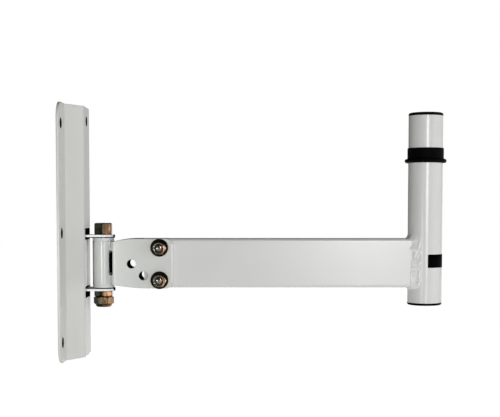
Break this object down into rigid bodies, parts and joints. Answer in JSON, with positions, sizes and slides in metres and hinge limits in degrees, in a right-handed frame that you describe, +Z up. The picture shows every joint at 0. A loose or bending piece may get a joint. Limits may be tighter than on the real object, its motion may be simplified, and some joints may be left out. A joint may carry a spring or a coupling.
{
  "type": "speaker wall bracket",
  "caption": "Wall bracket with a folded plate, a swivel hinge and fork, and a square arm with an upright pole that carries a loudspeaker by its socket.",
  "frame": {"origin": "centre of the wall plate's four corner holes, on the plane of the wall", "axes": "+X out from the wall along the arm, +Z up along the hinge and the pole, +Y across the plate"},
  "size_m": [0.3862, 0.15, 0.254],
  "materials": {
    "paint": "light warm grey powder coat",
    "zinc": "yellow zinc-plated steel",
    "black_plastic": "black moulded plastic",
    "nylon": "off-white nylon"
  },
  "bodies": {
    "wall_mount": {"wall_plate": "paint", "hinge_bracket": "paint", "swivel_bolt": "zinc", "swivel_thin_nut": "zinc", "swivel_lock_nut": "zinc", "swivel_nut_insert": "nylon"},
    "arm_assembly": {"upper_bush": "nylon", "lower_bush": "nylon", "swivel_fork": "paint", "support_arm": "paint", "arm_weld": "paint", "speaker_pole": "paint", "pole_top_cap": "black_plastic", "pole_bottom_cap": "black_plastic", "pole_sleeve": "black_plastic", "tilt_pivot_bolt": "zinc", "tilt_pivot_head_washer": "zinc", "tilt_pivot_nut_washer": "zinc", "tilt_pivot_nut": "zinc", "tilt_pivot_nut_insert": "nylon", "tilt_lock_bolt": "zinc", "tilt_lock_head_washer": "zinc", "tilt_lock_nut_washer": "zinc", "tilt_lock_nut": "zinc", "tilt_lock_nut_insert": "nylon"}
  },
  "joints": [
    {"name": "swivel", "type": "hinge", "parent": "wall_mount", "child": "arm_assembly", "pos_m": [0.034, 0, -0.0315], "axis": [0, 0, 1], "range_deg": [-90, 90]}
  ]
}
